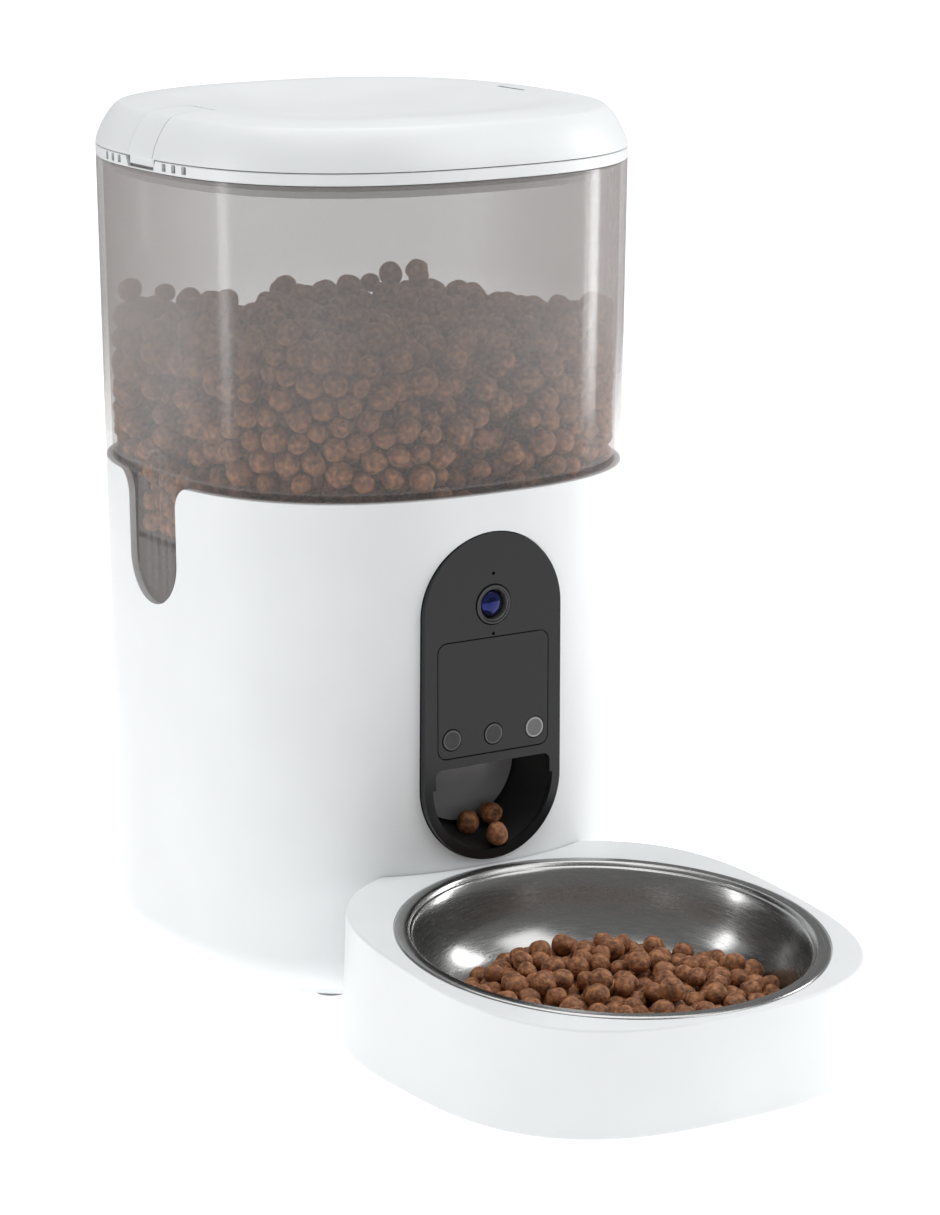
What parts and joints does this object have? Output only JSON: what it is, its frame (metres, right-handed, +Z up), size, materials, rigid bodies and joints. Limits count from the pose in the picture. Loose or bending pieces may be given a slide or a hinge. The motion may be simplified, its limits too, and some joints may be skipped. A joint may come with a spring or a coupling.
{
  "type": "automatic pet feeder",
  "caption": "Free-standing automatic pet feeder: a lift-out food hopper on a powered base with a metering rotor, chute and camera panel, and a separate tray with a steel bowl.",
  "frame": {"origin": "on the floor, at the middle of the whole feeder's footprint, tower and tray together", "axes": "+Z up; -Y towards the tray and the camera panel; +X to the right of someone looking along +Y at the panel"},
  "size_m": [0.19, 0.3498, 0.3315],
  "materials": {
    "white_plastic": "satin white moulded ABS with a very fine texture",
    "inner_white": "satin off-white moulded plastic",
    "smoke_plastic": "clear moulded plastic with a smoky grey-brown tint",
    "gloss_black": "polished piano black",
    "black_plastic": "satin black moulded plastic",
    "grey_plastic": "satin grey moulded plastic",
    "button_grey": "satin dark grey",
    "lens_ring_grey": "semi-gloss grey-olive",
    "lens_glass": "polished coated lens, nearly black",
    "grey_rubber": "matt grey rubber",
    "rotor_silicone": "matt pale grey silicone rubber",
    "steel": "fine circular brushing, bright edge",
    "brass": "turned brass",
    "circuit_board": "green solder mask",
    "motor_metal": "dark coated motor can",
    "cell_wrap": "dark blue shrink wrap over the can"
  },
  "bodies": {
    "root": {"base_plate": "white_plastic", "base_screw_1": "steel", "base_screw_2": "steel", "base_screw_3": "steel", "base_screw_4": "steel", "battery_case": "inner_white", "battery_cell_1": "cell_wrap", "battery_cell_2": "cell_wrap", "battery_cell_3": "cell_wrap", "battery_contacts_front": "steel", "battery_contacts_rear": "steel", "button_board": "circuit_board", "camera_lens": "lens_glass", "camera_module": "circuit_board", "chute": "black_plastic", "control_plate": "gloss_black", "flap_pin": "steel", "foot_1": "grey_rubber", "foot_2": "grey_rubber", "foot_3": "grey_rubber", "foot_4": "grey_rubber", "front_panel": "gloss_black", "gear_motor": "motor_metal", "gearbox_case": "grey_plastic", "gearbox_cover": "grey_plastic", "housing_shell": "white_plastic", "idler_pin": "steel", "lens_ring": "lens_ring_grey", "main_board": "circuit_board", "metering_shield": "grey_plastic", "power_jack": "black_plastic", "rotor_housing": "inner_white", "speaker": "black_plastic"},
    "battery_door": {"battery_door": "white_plastic"},
    "button_left": {"button_left": "black_plastic"},
    "button_centre": {"button_centre": "black_plastic"},
    "button_right": {"button_right": "button_grey"},
    "outlet_flap": {"outlet_flap": "smoke_plastic"},
    "rotor": {"rotor": "rotor_silicone", "agitator": "white_plastic", "rotor_shaft": "steel", "output_gear": "white_plastic"},
    "idler": {"idler_gear": "white_plastic"},
    "pinion": {"motor_pinion": "brass"},
    "hopper": {"hopper_tank": "smoke_plastic", "hopper_funnel": "smoke_plastic", "hopper_rim": "white_plastic"},
    "lid": {"lid_shell": "white_plastic", "lid_liner": "inner_white", "lid_seal": "grey_rubber", "desiccant_box": "inner_white", "latch_pin_left": "steel", "latch_pin_right": "steel"},
    "latch_left": {"latch_left": "white_plastic"},
    "latch_right": {"latch_right": "white_plastic"},
    "desiccant_cover": {"desiccant_cover": "grey_rubber"},
    "tray": {"tray_shell": "white_plastic", "tray_foot_1": "grey_rubber", "tray_foot_2": "grey_rubber"},
    "bowl": {"bowl": "steel"}
  },
  "joints": [
    {"name": "hopper_lift", "type": "slide", "parent": "root", "child": "hopper", "axis": [0, 0, 1], "range_m": [0, 0.06]},
    {"name": "lid_lift", "type": "slide", "parent": "hopper", "child": "lid", "axis": [0, 0, 1], "range_m": [0, 0.06]},
    {"name": "latch_left_swing", "type": "hinge", "parent": "lid", "child": "latch_left", "pos_m": [-0.071, 0.0799, 0.32852], "axis": [0, 1, 0], "range_deg": [0, 15]},
    {"name": "latch_right_swing", "type": "hinge", "parent": "lid", "child": "latch_right", "pos_m": [0.071, 0.0799, 0.32852], "axis": [0, -1, 0], "range_deg": [0, 15]},
    {"name": "desiccant_cover_twist", "type": "hinge", "parent": "lid", "child": "desiccant_cover", "pos_m": [0, 0.0799, 0.2987], "axis": [0, 0, 1], "range_deg": [0, 60]},
    {"name": "rotor_spin", "type": "hinge", "parent": "root", "child": "rotor", "pos_m": [0, 0.0799, 0.115], "axis": [0, 0, 1], "continuous": true},
    {"name": "idler_spin", "type": "hinge", "parent": "root", "child": "idler", "pos_m": [0, 0.1072, 0.101], "axis": [0, 0, 1], "continuous": true},
    {"name": "pinion_spin", "type": "hinge", "parent": "root", "child": "pinion", "pos_m": [0, 0.1267, 0.101], "axis": [0, 0, 1], "continuous": true},
    {"name": "flap_swing", "type": "hinge", "parent": "root", "child": "outlet_flap", "pos_m": [0, 0.0089, 0.0945], "axis": [-1, 0, 0], "range_deg": [0, 60]},
    {"name": "button_left_press", "type": "slide", "parent": "root", "child": "button_left", "axis": [0, 1, 0], "range_m": [0, 0.0005], "stiffness_N_per_m": 1800},
    {"name": "button_centre_press", "type": "slide", "parent": "root", "child": "button_centre", "axis": [0, 1, 0], "range_m": [0, 0.0005], "stiffness_N_per_m": 1800},
    {"name": "button_right_press", "type": "slide", "parent": "root", "child": "button_right", "axis": [0, 1, 0], "range_m": [0, 0.0005], "stiffness_N_per_m": 1800},
    {"name": "tray_slide", "type": "slide", "parent": "root", "child": "tray", "axis": [0, -1, 0], "range_m": [0, 0.06]},
    {"name": "bowl_lift", "type": "slide", "parent": "tray", "child": "bowl", "axis": [0, -0.075, 0.9972], "range_m": [0, 0.05]},
    {"name": "battery_door_slide", "type": "slide", "parent": "root", "child": "battery_door", "axis": [0, 1, 0], "range_m": [0, 0.09]}
  ],
  "couplings": [
    {"joint": "idler_spin", "follows": "rotor_spin", "ratio": -1.3333},
    {"joint": "pinion_spin", "follows": "rotor_spin", "ratio": 2}
  ]
}
